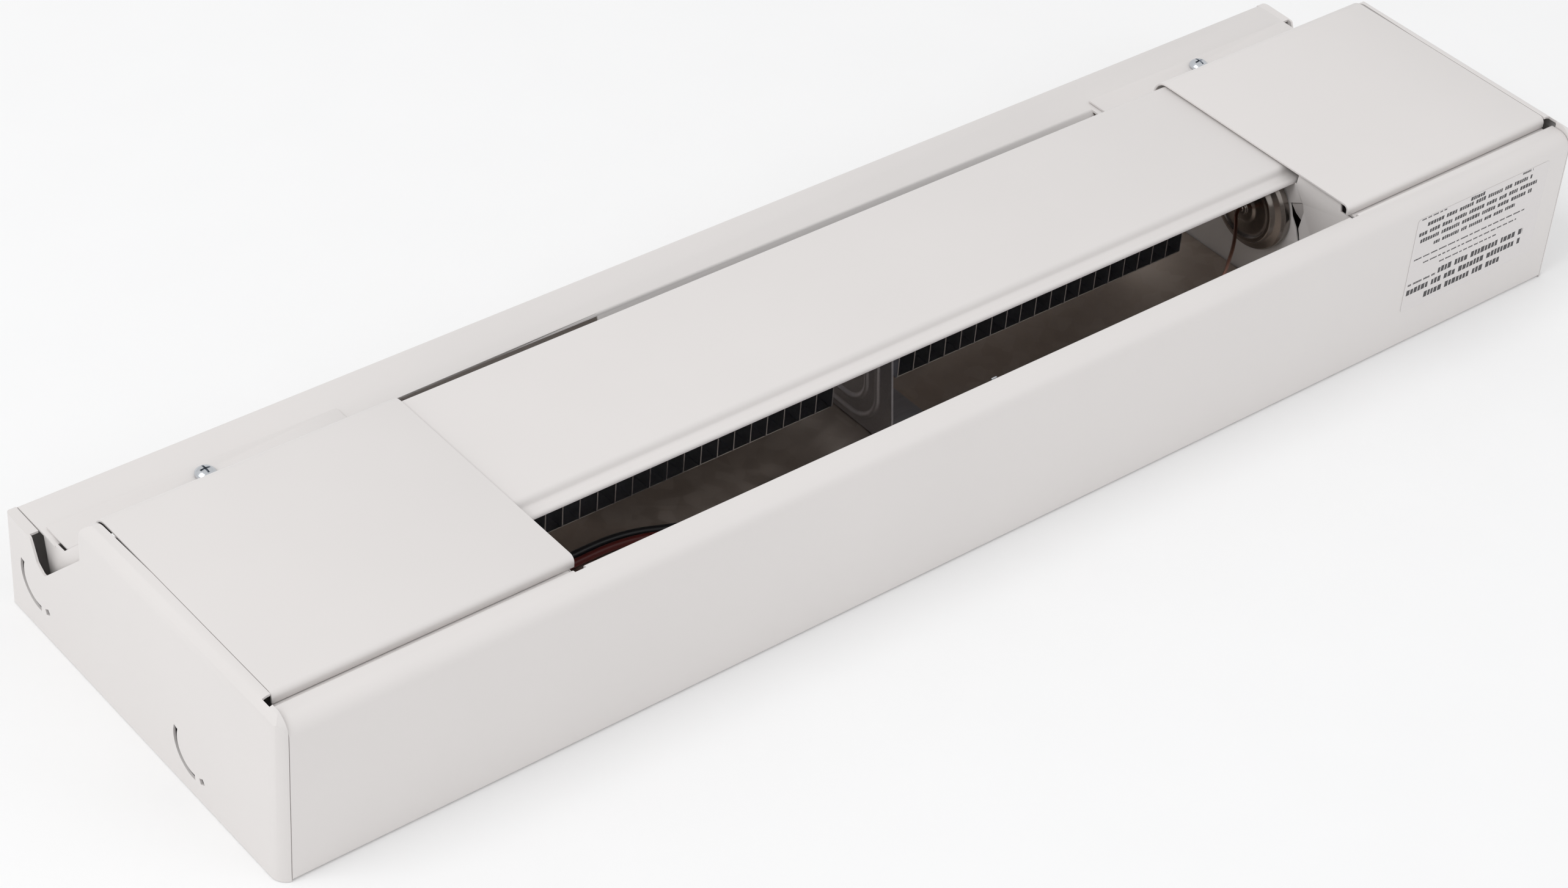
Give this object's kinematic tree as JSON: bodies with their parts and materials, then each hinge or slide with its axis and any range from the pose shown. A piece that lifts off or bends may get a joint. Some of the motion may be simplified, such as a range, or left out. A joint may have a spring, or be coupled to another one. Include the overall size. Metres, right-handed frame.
{
  "type": "baseboard heater",
  "caption": "Electric baseboard heater with a finned element behind a front panel, an outlet slot and a screwed junction cover at each end.",
  "frame": {"origin": "centre of the heater's length and height on its wall face", "axes": "+X along the length, +Y towards the edge that hangs lowest when mounted, +Z from the wall face out to the room side; the heater lies on its wall face"},
  "size_m": [0.61, 0.1728, 0.071],
  "materials": {
    "white_powder_coat": "satin white powder coat on sheet steel",
    "label_film": null,
    "zinc_plate": "bright zinc plate",
    "galvanised_steel": "mill galvanised sheet",
    "heated_steel": "dark oxidised steel",
    "fin_aluminium": "mill finish fin stock",
    "silicone_rubber": "matt moulded silicone",
    "phenolic": "moulded phenolic",
    "copper_tube": "drawn copper, slightly tarnished",
    "black_nylon": "moulded nylon",
    "red_wire": "extruded insulation",
    "black_wire": "extruded insulation",
    "white_wire": "extruded insulation",
    "grey_nylon": "moulded nylon",
    "green_zinc": "green dyed zinc plate"
  },
  "bodies": {
    "casing": {"back_casing": "white_powder_coat", "left_end_plate": "white_powder_coat", "right_end_plate": "white_powder_coat", "caution_label": "label_film", "front_panel": "white_powder_coat", "rear_reflector": "galvanised_steel", "left_partition": "white_powder_coat", "right_partition": "white_powder_coat", "centre_bracket": "galvanised_steel", "element_bushing_left": "silicone_rubber", "element_bushing_centre": "silicone_rubber", "element_bushing_right": "silicone_rubber", "limit_diaphragm": "heated_steel", "limit_switch_body": "phenolic", "limit_capillary": "copper_tube", "capillary_clip_left": "zinc_plate", "capillary_clip_centre": "zinc_plate", "capillary_clip_right": "zinc_plate", "wire_bushing_left": "black_nylon", "wire_bushing_right": "black_nylon", "through_wire_red": "red_wire", "through_wire_black": "black_wire", "lead_wire_left": "white_wire", "lead_wire_right": "white_wire", "wire_connector_red": "grey_nylon", "wire_connector_black": "grey_nylon", "wire_connector_lead": "grey_nylon", "ground_screw_left": "green_zinc", "ground_screw_right": "green_zinc"},
    "left_cover": {"left_junction_cover": "white_powder_coat", "left_cover_screw": "zinc_plate"},
    "right_cover": {"right_junction_cover": "white_powder_coat", "right_cover_screw": "zinc_plate"},
    "element": {"element_sheath": "heated_steel", "fin_pack_left": "fin_aluminium", "fin_pack_right": "fin_aluminium", "element_terminal_left": "zinc_plate", "element_terminal_right": "zinc_plate", "terminal_sleeve_left": "silicone_rubber", "terminal_sleeve_right": "silicone_rubber"}
  },
  "joints": [
    {"name": "left_cover_hinge", "type": "hinge", "parent": "casing", "child": "left_cover", "pos_m": [-0.2395, -0.0732, 0.0706], "axis": [1, 0, 0], "range_deg": [0, 75]},
    {"name": "right_cover_hinge", "type": "hinge", "parent": "casing", "child": "right_cover", "pos_m": [0.2425, -0.0732, 0.0706], "axis": [1, 0, 0], "range_deg": [0, 75]},
    {"name": "element_float", "type": "slide", "parent": "casing", "child": "element", "axis": [1, 0, 0], "range_m": [-0.0015, 0.0015]}
  ]
}
